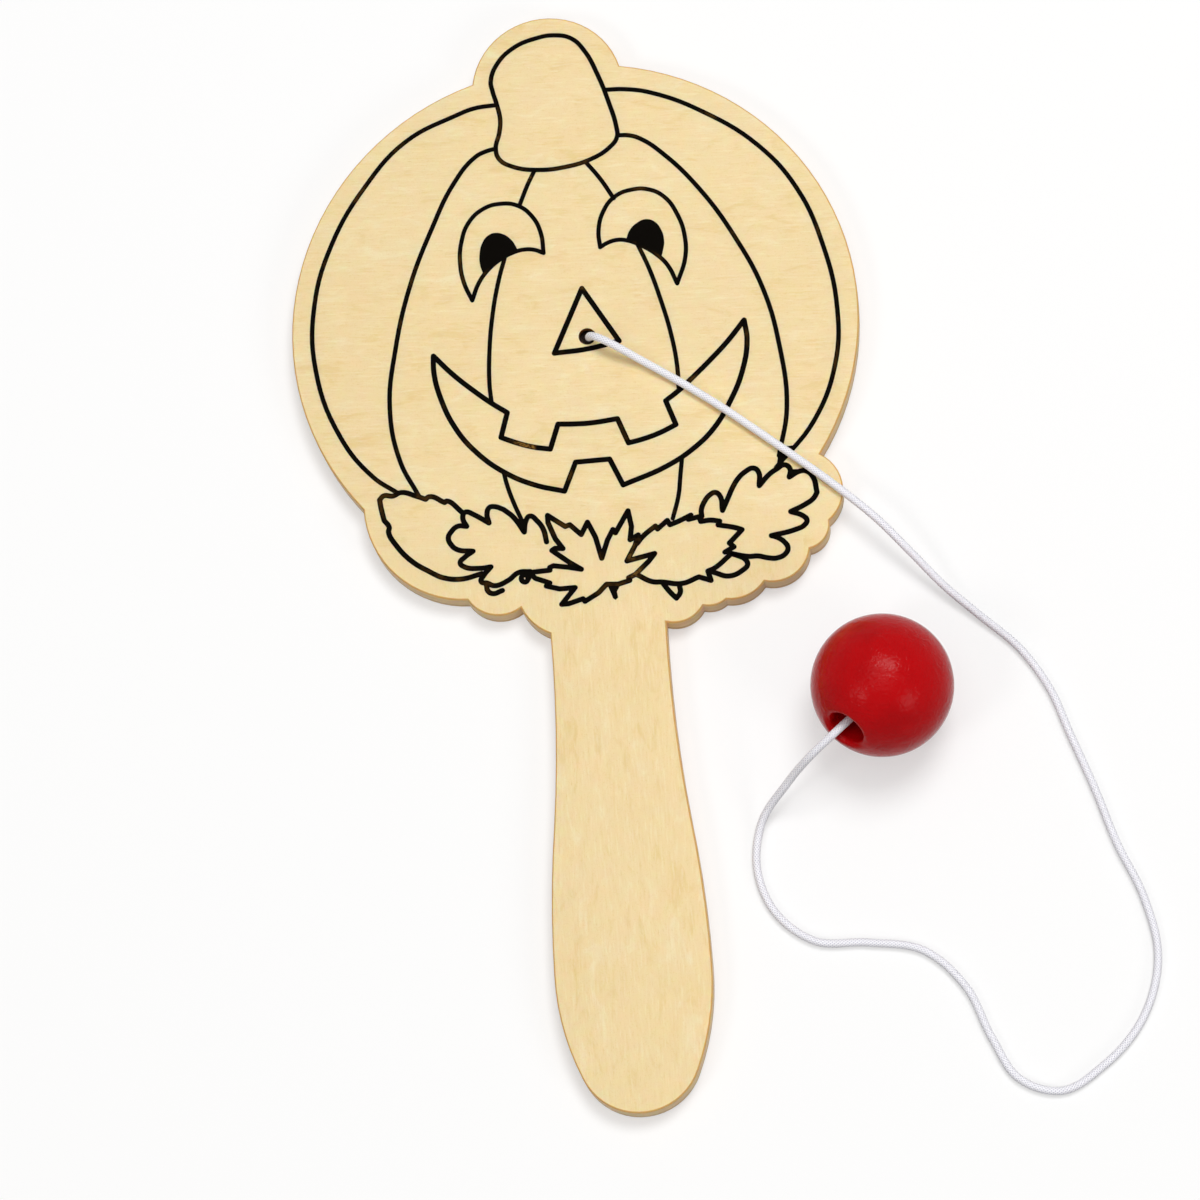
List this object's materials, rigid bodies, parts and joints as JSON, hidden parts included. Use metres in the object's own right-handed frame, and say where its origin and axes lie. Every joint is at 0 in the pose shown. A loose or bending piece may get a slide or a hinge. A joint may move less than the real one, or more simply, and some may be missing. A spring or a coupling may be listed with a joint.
{
  "type": "paddle ball game",
  "caption": "Flat plywood paddle with a round head, a scalloped leaf edge and a shaped handle, tethered by an elastic cord to a small drilled ball for bouncing.",
  "frame": {"origin": "on the paddle's back face, on the handle's centre line, where the handle meets the head", "axes": "+Y from the handle to the head, +Z out of the front face, +X to the right as seen from the front"},
  "size_m": [0.1734, 0.2448, 0.03],
  "materials": {
    "face_veneer": "bare pale veneer, sanded, with line artwork in black",
    "core_veneer": "sawn edge of the core, slightly darker",
    "elastic_cord": "white braided cover over elastic",
    "ball_paint": "glossy red paint on wood"
  },
  "bodies": {
    "paddle": {"front_ply": "face_veneer", "core_ply": "core_veneer", "back_ply": "face_veneer"},
    "tether": {"paddle_knot": "elastic_cord", "cord": "elastic_cord", "ball_knot": "elastic_cord"},
    "ball": {"ball": "ball_paint"}
  },
  "joints": [
    {"name": "cord_swing", "type": "hinge", "parent": "paddle", "child": "tether", "pos_m": [0, 0.066, 0.0045], "axis": [0, 0, 1], "range_deg": [-4, 290]},
    {"name": "ball_spin", "type": "hinge", "parent": "tether", "child": "ball", "pos_m": [0.0568, -0.0187, 0.015], "axis": [-0.596, -0.7103, 0.3746], "continuous": true}
  ]
}
